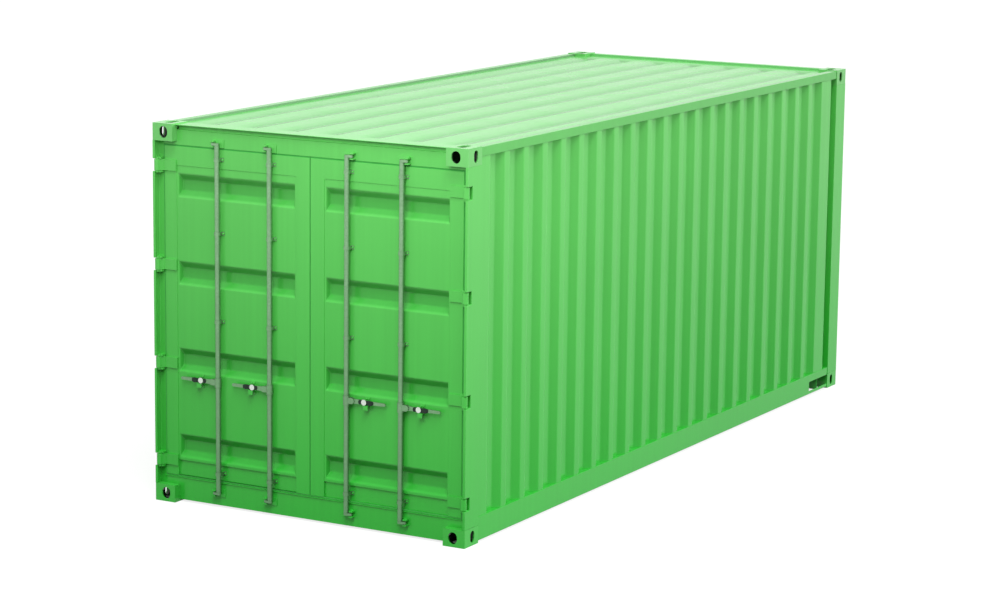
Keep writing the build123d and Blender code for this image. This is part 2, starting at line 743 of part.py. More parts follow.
# Door panels: a sheet with four pressed recesses, standing proud on the inside
recess_low = panel_bottom + RECESS_FROM_PANEL_BOTTOM
recess_high = panel_top - RECESS_FROM_PANEL_TOP
recess_pitch = (recess_high - recess_low) / (DOOR_RECESS_COUNT - 1)
panel_middle_x = (panel_inner_x + panel_outer_x) / 2
for side, x_side in SIDES.items():
    with BuildPart() as door_panel:
        with Locations((x_side * panel_middle_x, panel_face, panel_bottom)):
            Box(
                panel_outer_x - panel_inner_x,
                SHEET,
                panel_top - panel_bottom,
                align=(Align.CENTER, Align.MIN, Align.MIN),
            )
        for index in range(DOOR_RECESS_COUNT):
            recess_plane = Plane(
                (x_side * panel_middle_x, panel_face, recess_low + index * recess_pitch),
                x_dir=(1, 0, 0),
                z_dir=(0, 1, 0),
            )
            inside, outside = trough(
                recess_plane,
                panel_outer_x - panel_inner_x - 2 * DOOR_RECESS_MARGIN,
                DOOR_RECESS_HEIGHT,
                DOOR_RECESS_END_SLOPE,
                DOOR_RECESS_SLOPE,
                DOOR_RECESS_DEPTH,
            )
            add(outside)
            add(inside, mode=Mode.SUBTRACT)
    save(door_panel, f"door_panel_{side}")

# Door gaskets: a rubber ring round the edge of each leaf
for side, x_side in SIDES.items():
    ring_inner = door_centre_edge - GASKET_SIDE
    ring_outer = door_edge + GASKET_SIDE
    with BuildPart() as gasket:
        with BuildSketch(Plane.XZ.offset(-door_face - GASKET_SETBACK)):
            with Locations((x_side * (ring_inner + ring_outer) / 2, (door_bottom + door_top) / 2)):
                Rectangle(ring_outer - ring_inner, door_top - door_bottom + 2 * GASKET_THICKNESS)
            with Locations((x_side * (door_centre_edge + door_edge) / 2, (door_bottom + door_top) / 2)):
                Rectangle(door_edge - door_centre_edge, door_top - door_bottom, mode=Mode.SUBTRACT)
        extrude(amount=-GASKET_DEPTH)
    save(gasket, f"door_gasket_{side}")


# Lock rods: a plain round bar in front of the leaf
def lock_rod(rod_x, label):
    with BuildPart() as rod:
        with BuildSketch(Plane.XY.offset(rod_bottom)):
            with Locations((rod_x, rod_y)):
                Circle(ROD_RADIUS)
        extrude(amount=rod_top - rod_bottom)
    save(rod, label)


# What is welded to a rod: a cam on each end, and the hub whose ears hold the handle on a pin
def rod_fittings(rod_x, x_side, label):
    pivot_x = rod_x + x_side * HANDLE_PIVOT
    with BuildPart() as fittings:
        for level in cam_levels:
            with BuildSketch(Plane.XY.offset(level - CAM_HEIGHT / 2)):
                with Locations((rod_x, rod_y)):
                    Circle(ROD_RADIUS)
                with Locations((rod_x + x_side * (CAM_REACH - CAM_TIP_RADIUS), rod_y)):
                    Circle(CAM_TIP_RADIUS)
                make_hull()
            extrude(amount=CAM_HEIGHT)
        with BuildSketch(Plane.XY.offset(HANDLE_LEVEL - HUB_HEIGHT / 2)):
            with Locations((rod_x, rod_y)):
                Circle(ROD_RADIUS + HUB_WALL)
        extrude(amount=HUB_HEIGHT)
        for ear_side in (-1, 1):
            ear_y = rod_y + ear_side * (HANDLE_THICKNESS / 2 + EAR_GAP + EAR_THICKNESS / 2)
            with BuildSketch(Plane.XZ.offset(-ear_y)):
                with Locations((rod_x + x_side * HANDLE_PIVOT / 2, HANDLE_LEVEL)):
                    Rectangle(HANDLE_PIVOT, EAR_HEIGHT)
                with Locations((pivot_x, HANDLE_LEVEL)):
                    Circle(EAR_HEIGHT / 2)
            extrude(amount=EAR_THICKNESS / 2, both=True)
        with BuildSketch(Plane.XZ.offset(-rod_y)):
            with Locations((pivot_x, HANDLE_LEVEL)):
                Circle(HANDLE_PIN_RADIUS)
        extrude(amount=HANDLE_THICKNESS / 2 + EAR_GAP, both=True)
        with BuildSketch(Plane.XY.offset(rod_bottom)):
            with Locations((rod_x, rod_y)):
                Circle(ROD_RADIUS)
        extrude(amount=rod_top - rod_bottom, mode=Mode.SUBTRACT)
    save(fittings, label)


# Handles: a flat tapered bar that turns up on the pin between the rod's ears
def lock_handle(rod_x, x_side, label):
    pivot_x = rod_x + x_side * HANDLE_PIVOT
    tip_x = rod_x + x_side * (HANDLE_LENGTH - HANDLE_TIP_RADIUS)
    with BuildPart() as handle:
        with BuildSketch(Plane.XZ.offset(-rod_y)) as bar:
            with Locations((pivot_x, HANDLE_LEVEL)):
                Circle(HANDLE_HUB_RADIUS)
            with Locations((tip_x, HANDLE_LEVEL)):
                Circle(HANDLE_TIP_RADIUS)
            with BuildLine():
                Polyline(
                    (pivot_x, HANDLE_LEVEL - HANDLE_HUB_RADIUS),
                    (tip_x, HANDLE_LEVEL - HANDLE_TIP_RADIUS),
                    (tip_x, HANDLE_LEVEL + HANDLE_TIP_RADIUS),
                    (pivot_x, HANDLE_LEVEL + HANDLE_HUB_RADIUS),
                    close=True,
                )
            make_face()
            with Locations((pivot_x, HANDLE_LEVEL)):
                Circle(HANDLE_PIN_RADIUS + HANDLE_PLAY, mode=Mode.SUBTRACT)
        extrude(amount=HANDLE_THICKNESS / 2, both=True)
    save(handle, label)


for side, x_side in SIDES.items():
    for place, distance in ROD_PLACES.items():
        lock_rod(x_side * distance, f"lock_rod_{side}_{place}")
        rod_fittings(x_side * distance, x_side, f"rod_fittings_{side}_{place}")
        lock_handle(x_side * distance, x_side, f"lock_handle_{side}_{place}")


# Rod brackets: a strap round the rod with two feet on the leaf
def bracket(rod_x, level, foot_y):
    ring = ROD_RADIUS + BRACKET_PLAY + BRACKET_STRAP
    bore = ROD_RADIUS + BRACKET_PLAY
    with BuildPart() as strap:
        with BuildSketch(Plane.XY.offset(level - BRACKET_HEIGHT / 2)):
            with Locations((rod_x, rod_y)):
                Circle(ring)
                Rectangle(2 * ring, foot_y - rod_y, align=(Align.CENTER, Align.MIN))
            with Locations((rod_x, foot_y)):
                Rectangle(BRACKET_WIDTH, BRACKET_STRAP, align=(Align.CENTER, Align.MAX))
            with Locations((rod_x, rod_y)):
                Circle(bore, mode=Mode.SUBTRACT)
                Rectangle(
                    2 * bore, foot_y - rod_y, align=(Align.CENTER, Align.MIN), mode=Mode.SUBTRACT
                )
        extrude(amount=BRACKET_HEIGHT)
    return strap.part


# One on each rail of the leaf, and one on each of the two upper flats between the recesses
bracket_places = (
    (door_bottom + DOOR_BOTTOM_RAIL / 2, bottom_rail_face),
    (recess_high - 3 * recess_pitch / 2, panel_face),
    (recess_high - recess_pitch / 2, panel_face),
    (door_top - DOOR_TOP_RAIL / 2, door_face),
)
for side, x_side in SIDES.items():
    straps = [
        bracket(x_side * distance, level, foot_y)
        for distance in ROD_PLACES.values()
        for level, foot_y in bracket_places
    ]
    with BuildPart() as brackets:
        for strap in straps:
            add(strap)
    save(brackets, f"rod_brackets_{side}")


# Handle retainers: a plate on the panel, a shelf under the handle and a tab that hangs from it
def retainer(rod_x, x_side):
    centre_x = rod_x + x_side * RETAINER_FROM_ROD
    shelf_top = HANDLE_LEVEL - HANDLE_HUB_RADIUS - MOVING_GAP
    reach_y = panel_face - RETAINER_PLATE - RETAINER_REACH
    with BuildPart() as holder:
        with Locations((centre_x, panel_face, shelf_top - RETAINER_TAB)):
            Box(
                RETAINER_WIDTH,
                RETAINER_PLATE,
                RETAINER_HEIGHT,
                align=(Align.CENTER, Align.MAX, Align.MIN),
            )
        with Locations((centre_x, panel_face, shelf_top)):
            Box(
                RETAINER_WIDTH,
                panel_face - reach_y,
                RETAINER_PLATE,
                align=(Align.CENTER, Align.MAX, Align.MAX),
            )
        with Locations((centre_x, reach_y, shelf_top)):
            Box(
                RETAINER_WIDTH,
                RETAINER_PLATE,
                RETAINER_TAB,
                align=(Align.CENTER, Align.MIN, Align.MAX),
            )
    return holder.part


for side, x_side in SIDES.items():
    holders = [retainer(x_side * distance, x_side) for distance in ROD_PLACES.values()]
    with BuildPart() as retainers:
        for holder in holders:
            add(holder)
    save(retainers, f"handle_retainers_{side}")


# Cam keepers on the header and the sill: a plate with a prong above and below the finger
def keeper(rod_x, x_side, level):
    slot = CAM_HEIGHT / 2 + MOVING_GAP
    prong_x = rod_x + x_side * (ROD_RADIUS + MOVING_GAP + KEEPER_PRONG_WIDTH / 2)
    with BuildPart() as catch:
        with Locations((rod_x, frame_face, level)):
            Box(
                KEEPER_WIDTH,
                KEEPER_PLATE,
                KEEPER_HEIGHT,
                align=(Align.CENTER, Align.MAX, Align.CENTER),
            )
        for prong_level in (level - slot - KEEPER_PRONG / 2, level + slot + KEEPER_PRONG / 2):
            with Locations((prong_x, frame_face, prong_level)):
                Box(
                    KEEPER_PRONG_WIDTH,
                    KEEPER_PRONG_REACH,
                    KEEPER_PRONG,
                    align=(Align.CENTER, Align.MAX, Align.CENTER),
                )
    return catch.part


catches = [
    keeper(x_side * distance, x_side, level)
    for x_side in SIDES.values()
    for distance in ROD_PLACES.values()
    for level in cam_levels
]
with BuildPart() as keepers:
    for catch in catches:
        add(catch)
save(keepers, "cam_keepers")
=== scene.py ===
import json
import math

import bmesh
import bpy
from mathutils import Matrix, Vector


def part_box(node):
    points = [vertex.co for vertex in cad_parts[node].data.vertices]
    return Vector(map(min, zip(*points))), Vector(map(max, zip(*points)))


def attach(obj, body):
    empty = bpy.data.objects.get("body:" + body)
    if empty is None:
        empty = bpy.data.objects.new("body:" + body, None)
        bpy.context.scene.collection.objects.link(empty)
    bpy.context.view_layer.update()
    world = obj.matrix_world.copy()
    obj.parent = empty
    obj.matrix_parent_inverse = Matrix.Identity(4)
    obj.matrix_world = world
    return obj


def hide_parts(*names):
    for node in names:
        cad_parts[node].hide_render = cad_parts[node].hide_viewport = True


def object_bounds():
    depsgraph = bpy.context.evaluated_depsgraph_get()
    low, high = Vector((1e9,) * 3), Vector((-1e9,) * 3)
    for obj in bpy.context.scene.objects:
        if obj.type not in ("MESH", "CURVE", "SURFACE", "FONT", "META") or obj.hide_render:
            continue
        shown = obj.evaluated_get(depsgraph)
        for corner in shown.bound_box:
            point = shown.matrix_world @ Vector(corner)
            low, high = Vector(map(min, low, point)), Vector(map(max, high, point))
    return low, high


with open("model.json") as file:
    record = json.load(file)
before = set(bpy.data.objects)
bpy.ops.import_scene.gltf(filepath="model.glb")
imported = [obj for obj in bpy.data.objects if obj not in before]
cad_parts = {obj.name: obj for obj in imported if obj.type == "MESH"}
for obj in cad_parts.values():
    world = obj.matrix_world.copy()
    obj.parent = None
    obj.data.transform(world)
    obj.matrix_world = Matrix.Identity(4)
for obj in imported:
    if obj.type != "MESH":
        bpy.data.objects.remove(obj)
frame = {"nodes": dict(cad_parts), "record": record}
cad_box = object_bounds()

# A closed steel shipping container in satin green paint. X runs across it, Y along it with the
# doors at the low end, Z up, in metres. Sizes named in millimetres are turned to metres by MM.
MM = 0.001
SIDES = {"left": -1, "right": 1}
PLACES = ("inner", "outer")
nodes = frame["nodes"]
bodies = frame["record"]["behaviour"]["bodies"]
body_of = {name: body for body, names in bodies.items() for name in names}
slot_of = {part["node"]: part["material_slot"] for part in frame["record"]["subparts"]}


# Materials

def linear(hex_colour):
    """An sRGB hex colour as the linear RGBA that nodes take."""
    channels = [int(hex_colour[start:start + 2], 16) / 255 for start in (1, 3, 5)]
    return [c / 12.92 if c <= 0.04045 else ((c + 0.055) / 1.055) ** 2.4 for c in channels] + [1]


def per_metre(size_mm):
    """The scale of a pattern whose marks are that size."""
    return 1000 / size_mm


def node(tree, kind, settings=None, links=None):
    """Adds a node, sets its sockets or properties, and links its inputs. Returns the node."""
    new = tree.nodes.new(kind)
    for key, value in (settings or {}).items():
        if isinstance(key, int) or key in new.inputs:
            new.inputs[key].default_value = value
        else:
            setattr(new, key, value)
    for key, source in (links or {}).items():
        tree.links.new(source, new.inputs[key])
    return new


def start_material(name):
    """A new material with its shader and output. Returns it, its tree, the shader and the place."""
    material = bpy.data.materials.new(name)
    material.use_nodes = True
    tree = material.node_tree
    tree.nodes.clear()
    shader = node(tree, "ShaderNodeBsdfPrincipled")
    node(tree, "ShaderNodeOutputMaterial", links={"Surface": shader.outputs["BSDF"]})
    place = node(tree, "ShaderNodeTexCoord").outputs["Object"]
    return material, tree, shader, place


# The container's paint: a sprayed alkyd enamel on weathering steel sheet. It gives the eye a clean
# satin green, with painted light making it paler towards the roof and painted shade making it
# deeper at the foot, faint upright rain marks, soft cloudy differences in tone, and the slight
# waves of thin sheet in its gloss.
ENAMEL_SHADED_FOOT = "#2AA831"
ENAMEL_LIT_HEAD = "#60C25B"
CASTING_SHADED_FOOT = "#34AC39"
CASTING_LIT_HEAD = "#6CBF68"
RAIL_LIT_HEAD = "#59B555"
ENAMEL_IOR = 1.36
INSIDE_PAINTED_SHADE = "#0B1C0D"
PRESSING_SHADE = "#1E8723"
RAIL_INNER_SHADE = "#6F9A70"
BEAM_INNER_SHADE = "#6FBF6F"
GROOVE_SHADE = "#3F8F3F"
ENAMEL_CLOUD_MM = 850
ENAMEL_STREAK_MM = 38
ENAMEL_GLOSS_MM = 260
SHEET_WAVE_MM = 320
SHEET_WAVE_DEPTH_MM = 0.25


def enamel(name, grain_mm, grain_depth_mm, foot=ENAMEL_SHADED_FOOT, head=ENAMEL_LIT_HEAD):
    """The enamel with a grain of that size and depth, and its colours at the foot and the head,
    which paint shade at the foot and light at the head.
    """
    material, tree, shader, place = start_material(name)
    # Painted light and shade: the colour runs from the shaded foot to the lit head with height
    level = node(tree, "ShaderNodeSeparateXYZ", links={"Vector": place}).outputs["Z"]
    painted_height_light = node(tree, "ShaderNodeMapRange", {"From Max": cad_box[1][2]}, {"Value": level})
    height_lit_colour = node(
        tree, "ShaderNodeMix", {"data_type": "RGBA", 6: linear(foot), 7: linear(head)},
        {0: painted_height_light.outputs["Result"]},
    )
    cloud = node(
        tree, "ShaderNodeTexNoise", {"Scale": per_metre(ENAMEL_CLOUD_MM), "Detail": 3},
        {"Vector": place},
    )
    cloud_tone = node(
        tree, "ShaderNodeMapRange",
        {"From Min": 0.3, "From Max": 0.7, "To Min": 0.975, "To Max": 1.02},
        {"Value": cloud.outputs["Fac"]},
    )
    # Rain marks are narrow across and long up the wall
    upright = node(tree, "ShaderNodeMapping", {"Scale": (1, 1, 0.02)}, {"Vector": place})
    streak = node(
        tree, "ShaderNodeTexNoise", {"Scale": per_metre(ENAMEL_STREAK_MM), "Detail": 4},
        {"Vector": upright.outputs["Vector"]},
    )
    streak_tone = node(
        tree, "ShaderNodeMapRange",
        {"From Min": 0.3, "From Max": 0.7, "To Min": 0.97, "To Max": 1.02},
        {"Value": streak.outputs["Fac"]},
    )
    tone = node(
        tree, "ShaderNodeMath", {"operation": "MULTIPLY"},
        {0: cloud_tone.outputs["Result"], 1: streak_tone.outputs["Result"]},
    )
    toned = node(
        tree, "ShaderNodeHueSaturation", {},
        {"Color": height_lit_colour.outputs[2], "Value": tone.outputs["Value"]},
    )
    tree.links.new(toned.outputs["Color"], shader.inputs["Base Color"])
    shader.inputs["IOR"].default_value = ENAMEL_IOR
    gloss = node(
        tree, "ShaderNodeTexNoise", {"Scale": per_metre(ENAMEL_GLOSS_MM), "Detail": 5},
        {"Vector": place},
    )
    roughness = node(
        tree, "ShaderNodeMapRange",
        {"From Min": 0.3, "From Max": 0.7, "To Min": 0.17, "To Max": 0.23},
        {"Value": gloss.outputs["Fac"]},
    )
    tree.links.new(roughness.outputs["Result"], shader.inputs["Roughness"])
    wave = node(
        tree, "ShaderNodeTexNoise", {"Scale": per_metre(SHEET_WAVE_MM), "Detail": 1},
        {"Vector": place},
    )
    wave_bump = node(
        tree, "ShaderNodeBump", {"Strength": 1, "Distance": SHEET_WAVE_DEPTH_MM * MM},
        {"Height": wave.outputs["Fac"]},
    )
    grain = node(
        tree, "ShaderNodeTexNoise", {"Scale": per_metre(grain_mm), "Detail": 3},
        {"Vector": place},
    )
    grain_bump = node(
        tree, "ShaderNodeBump", {"Strength": 1, "Distance": grain_depth_mm * MM},
        {"Height": grain.outputs["Fac"], "Normal": wave_bump.outputs["Normal"]},
    )
    tree.links.new(grain_bump.outputs["Normal"], shader.inputs["Normal"])
    return material


def open_material(material):
    """A finish that is to be added to: its tree, its shader and the place on the piece."""
    tree = material.node_tree
    shader = next(each for each in tree.nodes if each.type == "BSDF_PRINCIPLED")
    return tree, shader, node(tree, "ShaderNodeTexCoord").outputs["Object"]


def lay_colour_over(tree, shader, cover_mask, colour):
    """Lays a colour over a finish, as thick as the mask says; used for painted shade and for the
    zinc's darker foot.
    """
    painted = shader.inputs["Base Color"].links[0].from_socket
    soiled = node(
        tree, "ShaderNodeMix", {"data_type": "RGBA", 7: linear(colour)},
        {0: cover_mask.outputs["Result"], 6: painted},
    )
    tree.links.new(soiled.outputs[2], shader.inputs["Base Color"])


# How deep under or how far from a surface each painted shade starts and is at its full, in
# millimetres, and how much of the enamel the thinner ones hide there
INSIDE_SHADE_MM = (5, 13)
PRESSING_SHADE_MM = (2, 14)
PRESSING_SHADE_SHARE = 0.45
GUTTER_SHADE_MM = (9, 2)
GROOVE_SHADE_MM = (3, 10)
GROOVE_SHADE_SHARE = 0.5


def paint_shade_inside(material, middle, half, block):
    """Paints shade inside hollow blocks that stand at the corners of a box, almost black, so that
    the holes look deep."""
    tree, shader, place = open_material(material)
    offset = node(
        tree, "ShaderNodeVectorMath", {"operation": "SUBTRACT", 1: middle}, {0: place},
    )
    away = node(
        tree, "ShaderNodeVectorMath", {"operation": "ABSOLUTE"}, {0: offset.outputs["Vector"]},
    )
    from_outside = node(
        tree, "ShaderNodeVectorMath", {"operation": "SUBTRACT", 0: half},
        {1: away.outputs["Vector"]},
    )
    inner = [reach - size for reach, size in zip(half, block)]
    from_inside = node(
        tree, "ShaderNodeVectorMath", {"operation": "SUBTRACT", 1: inner},
        {0: away.outputs["Vector"]},
    )
    within = node(
        tree, "ShaderNodeVectorMath", {"operation": "MINIMUM"},
        {0: from_outside.outputs["Vector"], 1: from_inside.outputs["Vector"]},
    )
    depths = node(tree, "ShaderNodeSeparateXYZ", {}, {"Vector": within.outputs["Vector"]})
    across = node(
        tree, "ShaderNodeMath", {"operation": "MINIMUM"},
        {0: depths.outputs["X"], 1: depths.outputs["Y"]},
    )
    least = node(
        tree, "ShaderNodeMath", {"operation": "MINIMUM"},
        {0: across.outputs["Value"], 1: depths.outputs["Z"]},
    )
    start, full = INSIDE_SHADE_MM
    cover_mask = node(
        tree, "ShaderNodeMapRange", {"From Min": start * MM, "From Max": full * MM},
        {"Value": least.outputs["Value"]},
    )
    lay_colour_over(tree, shader, cover_mask, INSIDE_PAINTED_SHADE)


def shade_pressings(material, face_y):
    """Paints shade in a door's pressed recesses: a deeper green further in from the door's face."""
    tree, shader, place = open_material(material)
    inward = node(tree, "ShaderNodeSeparateXYZ", links={"Vector": place}).outputs["Y"]
    start, full = PRESSING_SHADE_MM
    pressing_shade_mask = node(
        tree, "ShaderNodeMapRange",
        {
            "From Min": face_y + start * MM,
            "From Max": face_y + full * MM,
            "To Max": PRESSING_SHADE_SHARE,
        },
        {"Value": inward},
    )
    lay_colour_over(tree, shader, pressing_shade_mask, PRESSING_SHADE)


def shade_gutter_side(material, axis, inner, colour):
    """Paints shade on the inner side of a beam beside the roof, along the edge: a greyer, deeper
    green.
    """
    tree, shader, place = open_material(material)
    across = node(tree, "ShaderNodeSeparateXYZ", links={"Vector": place}).outputs[axis]
    outward = node(tree, "ShaderNodeMath", {"operation": "ABSOLUTE"}, {0: across})
    offset = node(
        tree, "ShaderNodeMath", {"operation": "SUBTRACT", 1: inner},
        {0: outward.outputs["Value"]},
    )
    distance = node(
        tree, "ShaderNodeMath", {"operation": "ABSOLUTE"}, {0: offset.outputs["Value"]},
    )
    start, full = GUTTER_SHADE_MM
    shade_mask = node(
        tree, "ShaderNodeMapRange",
        {"From Min": full * MM, "From Max": start * MM, "To Min": 1, "To Max": 0},
        {"Value": distance.outputs["Value"]},
    )
    lay_colour_over(tree, shader, shade_mask, colour)


def shade_grooves(material, top):
    """Paints shade in the roof's pressed grooves: a deeper green towards their bottom."""
    tree, shader, place = open_material(material)
    level = node(tree, "ShaderNodeSeparateXYZ", links={"Vector": place}).outputs["Z"]
    start, full = GROOVE_SHADE_MM
    shade_mask = node(
        tree, "ShaderNodeMapRange",
        {
            "From Min": top - full * MM,
            "From Max": top - start * MM,
            "To Min": GROOVE_SHADE_SHARE,
            "To Max": 0,
        },
        {"Value": level},
    )
    lay_colour_over(tree, shader, shade_mask, GROOVE_SHADE)


# Orange peel of sprayed enamel is 2 to 3 mm across, drawn at 9 mm so that it shows
PEEL_MM = 9
PEEL_DEPTH_MM = 0.05
green_enamel = enamel("sprayed_enamel_on_weathering_steel", PEEL_MM, PEEL_DEPTH_MM)
door_enamel = enamel("sprayed_enamel_on_pressed_door_sheet", PEEL_MM, PEEL_DEPTH_MM)
# Painted shade in the doors' pressed recesses
shade_pressings(door_enamel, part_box("door_panel_right")[0].y)
# The top rails: the same enamel with less painted light at the head, and painted shade on
# the inner side beside the roof's gutters
rail_enamel = enamel("sprayed_enamel_on_rolled_tube", PEEL_MM, PEEL_DEPTH_MM, head=RAIL_LIT_HEAD)
roof_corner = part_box("roof_panel")[1]
# Painted shade along the top rails' inner side beside the roof
shade_gutter_side(rail_enamel, "X", roof_corner.x, RAIL_INNER_SHADE)
# The beam over the blind end has a paler painted shade on its inner side
TOP_BEAM_DEPTH_MM = 60
beam_enamel = enamel("sprayed_enamel_on_folded_beam", PEEL_MM, PEEL_DEPTH_MM)
beam_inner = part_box("front_top_beam")[1].y - TOP_BEAM_DEPTH_MM * MM
shade_gutter_side(beam_enamel, "Y", beam_inner, BEAM_INNER_SHADE)
roof_enamel = enamel("sprayed_enamel_on_pressed_roof_sheet", PEEL_MM, PEEL_DEPTH_MM)
# Painted shade in the roof's pressed grooves
shade_grooves(roof_enamel, roof_corner.z)
# Sand cast steel under the same enamel: the sand's grain, 1 mm, is drawn at 7 mm so that it shows
SAND_MM = 7
SAND_DEPTH_MM = 0.45
casting_enamel = enamel(
    "sprayed_enamel_on_sand_cast_steel", SAND_MM, SAND_DEPTH_MM,
    foot=CASTING_SHADED_FOOT, head=CASTING_LIT_HEAD,
)
casting_boxes = [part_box(f"corner_castings_{level}") for level in ("bottom", "top")]
lowest = casting_boxes[0][0]
highest = casting_boxes[1][1]
CASTING_BLOCK = (162 * MM, 178 * MM, 118 * MM)
# Painted shade, almost black, inside the corner castings' hollows
paint_shade_inside(
    casting_enamel,
    [(low + high) / 2 for low, high in zip(lowest, highest)],
    [(high - low) / 2 for low, high in zip(lowest, highest)],
    CASTING_BLOCK,
)


# Zinc crystals are 5 to 15 mm across, and the weather dulls them in clouds
ZINC_CRYSTAL_MM = 11
ZINC_CRYSTAL_DEPTH_MM = 0.05
ZINC_CLOUD_MM = 120
FOOT_DARKENING_TOP_MM = 2300
FOOT_DARKENING_SHARE = 0.75


def galvanised_steel():
    """Hot dip galvanised steel bar: zinc crystals under green overspray and weather, hardly
    shining, and darker towards the foot."""
    material, tree, shader, place = start_material("hot_dip_galvanised_steel")
    crystals = node(
        tree, "ShaderNodeTexVoronoi", {"Scale": per_metre(ZINC_CRYSTAL_MM)}, {"Vector": place},
    )
    crystal_tone = node(tree, "ShaderNodeSeparateColor", {}, {"Color": crystals.outputs["Color"]})
    dulling = node(
        tree, "ShaderNodeTexNoise", {"Scale": per_metre(ZINC_CLOUD_MM), "Detail": 5},
        {"Vector": place},
    )
    colour = node(
        tree, "ShaderNodeMix",
        {"data_type": "RGBA", 6: linear("#80AB80"), 7: linear("#98C097")},
        {0: crystal_tone.outputs["Red"]},
    )
    dulled = node(
        tree, "ShaderNodeMix", {"data_type": "RGBA", 7: linear("#88B086")},
        {0: dulling.outputs["Fac"], 6: colour.outputs[2]},
    )
    tree.links.new(dulled.outputs[2], shader.inputs["Base Color"])
    # Darker towards the foot
    level = node(tree, "ShaderNodeSeparateXYZ", links={"Vector": place}).outputs["Z"]
    foot_darkening = node(
        tree, "ShaderNodeMapRange",
        {"From Max": FOOT_DARKENING_TOP_MM * MM, "To Min": FOOT_DARKENING_SHARE, "To Max": 0},
        {"Value": level},
    )
    lay_colour_over(tree, shader, foot_darkening, "#4F7A52")
    shader.inputs["Metallic"].default_value = 0.8
    roughness = node(
        tree, "ShaderNodeMapRange",
        {"From Min": 0.3, "From Max": 0.7, "To Min": 0.38, "To Max": 0.55},
        {"Value": dulling.outputs["Fac"]},
    )
    tree.links.new(roughness.outputs["Result"], shader.inputs["Roughness"])
    bump = node(
        tree, "ShaderNodeBump", {"Strength": 1, "Distance": ZINC_CRYSTAL_DEPTH_MM * MM},
        {"Height": crystals.outputs["Distance"]},
    )
    tree.links.new(bump.outputs["Normal"], shader.inputs["Normal"])
    return material


RUBBER_BLOOM_MM = 60
RUBBER_GRAIN_MM = 3
RUBBER_GRAIN_DEPTH_MM = 0.1


def seal_rubber():
    """Extruded EPDM rubber in the container's green: matt, with a pale bloom and a fine grain."""
    material, tree, shader, place = start_material("extruded_epdm_rubber")
    bloom = node(
        tree, "ShaderNodeTexNoise", {"Scale": per_metre(RUBBER_BLOOM_MM), "Detail": 5},
        {"Vector": place},
    )
    colour = node(
        tree, "ShaderNodeMix",
        {"data_type": "RGBA", 6: linear("#2B8F33"), 7: linear("#3DA245")},
        {0: bloom.outputs["Fac"]},
    )
    tree.links.new(colour.outputs[2], shader.inputs["Base Color"])
    shader.inputs["Roughness"].default_value = 0.72
    shader.inputs["IOR"].default_value = 1.52
    grain = node(
        tree, "ShaderNodeTexNoise", {"Scale": per_metre(RUBBER_GRAIN_MM), "Detail": 2},
        {"Vector": place},
    )
    bump = node(
        tree, "ShaderNodeBump", {"Strength": 1, "Distance": RUBBER_GRAIN_DEPTH_MM * MM},
        {"Height": grain.outputs["Fac"]},
    )
    tree.links.new(bump.outputs["Normal"], shader.inputs["Normal"])
    return material


# The grain lines of the top veneer are 4 mm apart, drawn at 12 mm so that they show
VENEER_GRAIN_MM = 12
VENEER_GRAIN_DEPTH_MM = 0.4
DECK_WEAR_MM = 420


def painted_plywood():
    """Plywood under deck paint: matt green, the grain showing through along the container."""
    material, tree, shader, place = start_material("deck_paint_on_plywood")
    along = node(tree, "ShaderNodeMapping", {"Scale": (1, 0.05, 1)}, {"Vector": place})
    grain = node(
        tree, "ShaderNodeTexNoise",
        {"Scale": per_metre(VENEER_GRAIN_MM), "Detail": 6, "Distortion": 0.4},
        {"Vector": along.outputs["Vector"]},
    )
    wear = node(
        tree, "ShaderNodeTexNoise", {"Scale": per_metre(DECK_WEAR_MM), "Detail": 6},
        {"Vector": place},
    )
    colour = node(
        tree, "ShaderNodeMix",
        {"data_type": "RGBA", 6: linear("#348A3B"), 7: linear("#45A44A")},
        {0: grain.outputs["Fac"]},
    )
    worn = node(
        tree, "ShaderNodeMix", {"data_type": "RGBA", 7: linear("#3F9445")},
        {0: wear.outputs["Fac"], 6: colour.outputs[2]},
    )
    tree.links.new(worn.outputs[2], shader.inputs["Base Color"])
    roughness = node(
        tree, "ShaderNodeMapRange",
        {"From Min": 0.3, "From Max": 0.7, "To Min": 0.5, "To Max": 0.68},
        {"Value": wear.outputs["Fac"]},
    )
    tree.links.new(roughness.outputs["Result"], shader.inputs["Roughness"])
    bump = node(
        tree, "ShaderNodeBump", {"Strength": 1, "Distance": VENEER_GRAIN_DEPTH_MM * MM},
        {"Height": grain.outputs["Fac"]},
    )
    tree.links.new(bump.outputs["Normal"], shader.inputs["Normal"])
    return material


PLATING_GRAIN_DEPTH_MM = 0.03


def plain_steel(name, dark, pale, metallic, roughness, mark_mm):
    """A small steel part's finish: its colour in soft marks of that size, and a fine grain."""
    material, tree, shader, place = start_material(name)
    marks = node(
        tree, "ShaderNodeTexNoise", {"Scale": per_metre(mark_mm), "Detail": 4},
        {"Vector": place},
    )
    colour = node(
        tree, "ShaderNodeMix", {"data_type": "RGBA", 6: linear(dark), 7: linear(pale)},
        {0: marks.outputs["Fac"]},
    )
    tree.links.new(colour.outputs[2], shader.inputs["Base Color"])
    shader.inputs["Metallic"].default_value = metallic
    gloss = node(
        tree, "ShaderNodeMapRange",
        {"From Min": 0.3, "From Max": 0.7, "To Min": roughness, "To Max": roughness + 0.12},
        {"Value": marks.outputs["Fac"]},
    )
    tree.links.new(gloss.outputs["Result"], shader.inputs["Roughness"])
    bump = node(
        tree, "ShaderNodeBump", {"Strength": 1, "Distance": PLATING_GRAIN_DEPTH_MM * MM},
        {"Height": marks.outputs["Fac"]},
    )
    tree.links.new(bump.outputs["Normal"], shader.inputs["Normal"])
    return material


zinc = galvanised_steel()
rubber = seal_rubber()
plywood = painted_plywood()
# Zinc plated screws: brighter and smoother than the dipped bars
screw_zinc = plain_steel("zinc_plated_steel", "#8E9C90", "#B9C2BA", 0.9, 0.3, 9)
